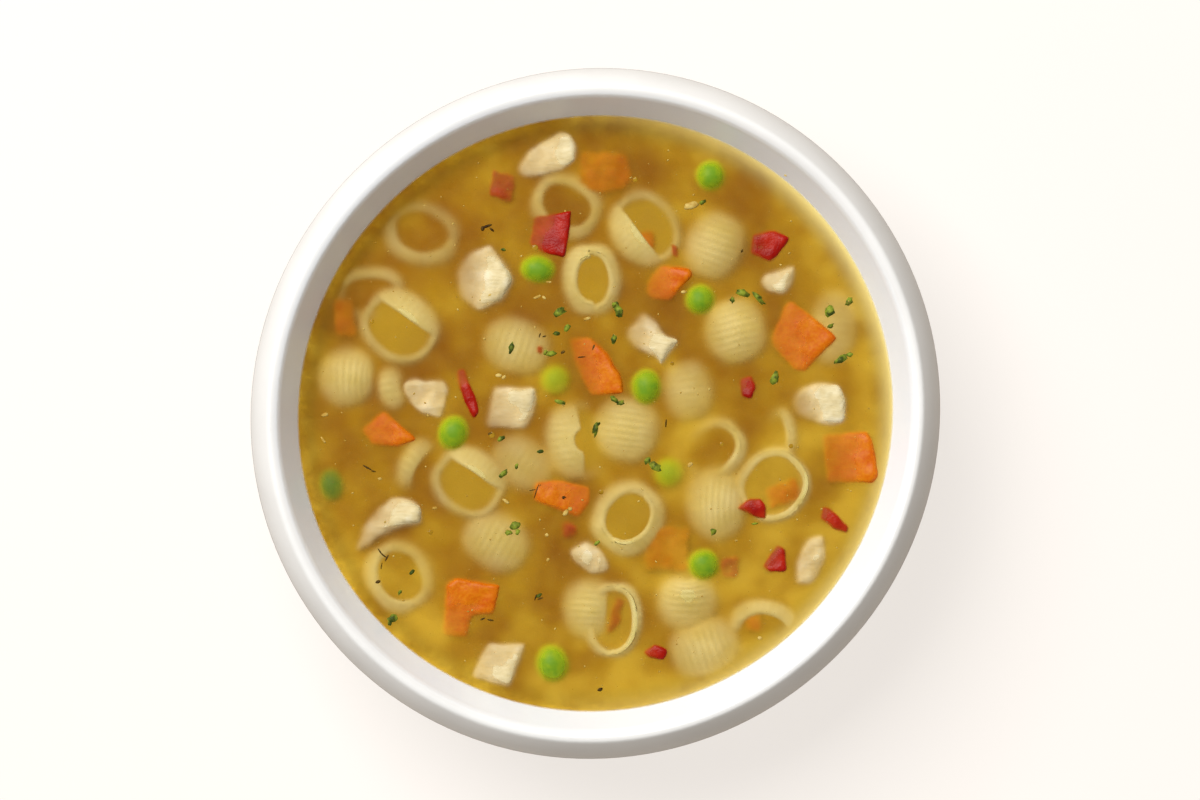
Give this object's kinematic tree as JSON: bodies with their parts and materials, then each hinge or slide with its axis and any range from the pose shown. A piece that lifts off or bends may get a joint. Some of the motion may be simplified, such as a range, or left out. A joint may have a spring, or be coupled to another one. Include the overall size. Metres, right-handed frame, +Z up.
{
  "type": "bowl of chicken noodle soup",
  "caption": "White bowl with a thick rim, filled with golden broth in which pasta shells, chicken, peas, carrot and red pepper float.",
  "frame": {"origin": "middle of the foot ring's bottom face, where the bowl rests", "axes": "+Z up out of the bowl; +X and +Y lie in the table, +X to the right and +Y away from a person who looks down on the soup"},
  "size_m": [0.1796, 0.18, 0.0579],
  "materials": {
    "stoneware": "white glaze, soft gloss",
    "broth": "cloudy golden-brown liquid with a few herb flecks, wet",
    "chicken": "cooked white meat, fibrous, moist",
    "carrot": "cooked orange carrot, moist",
    "red_pepper": "red skin and flesh, glossy",
    "pea": "bright green, smooth, moist",
    "pasta": "cooked pale yellow pasta, ridged, moist"
  },
  "bodies": {
    "root": {"bowl": "stoneware", "broth": "broth", "chicken_1": "chicken", "chicken_2": "chicken", "chicken_3": "chicken", "chicken_4": "chicken", "chicken_5": "chicken", "chicken_6": "chicken", "chicken_7": "chicken", "chicken_8": "chicken", "chicken_9": "chicken", "chicken_10": "chicken", "carrot_1": "carrot", "carrot_2": "carrot", "carrot_3": "carrot", "carrot_4": "carrot", "carrot_5": "carrot", "carrot_6": "carrot", "carrot_7": "carrot", "pepper_1": "red_pepper", "pepper_2": "red_pepper", "pepper_3": "red_pepper", "pepper_4": "red_pepper", "pepper_5": "red_pepper", "pepper_6": "red_pepper", "pepper_7": "red_pepper", "pepper_8": "red_pepper", "pea_1": "pea", "pea_2": "pea", "pea_3": "pea", "pea_4": "pea", "pea_5": "pea", "pea_6": "pea", "pea_7": "pea", "shell_01": "pasta", "shell_02": "pasta", "shell_03": "pasta", "shell_04": "pasta", "shell_05": "pasta", "shell_06": "pasta", "shell_07": "pasta", "shell_08": "pasta", "shell_09": "pasta", "shell_10": "pasta", "shell_11": "pasta", "shell_12": "pasta", "shell_13": "pasta", "shell_14": "pasta"}
  },
  "joints": []
}
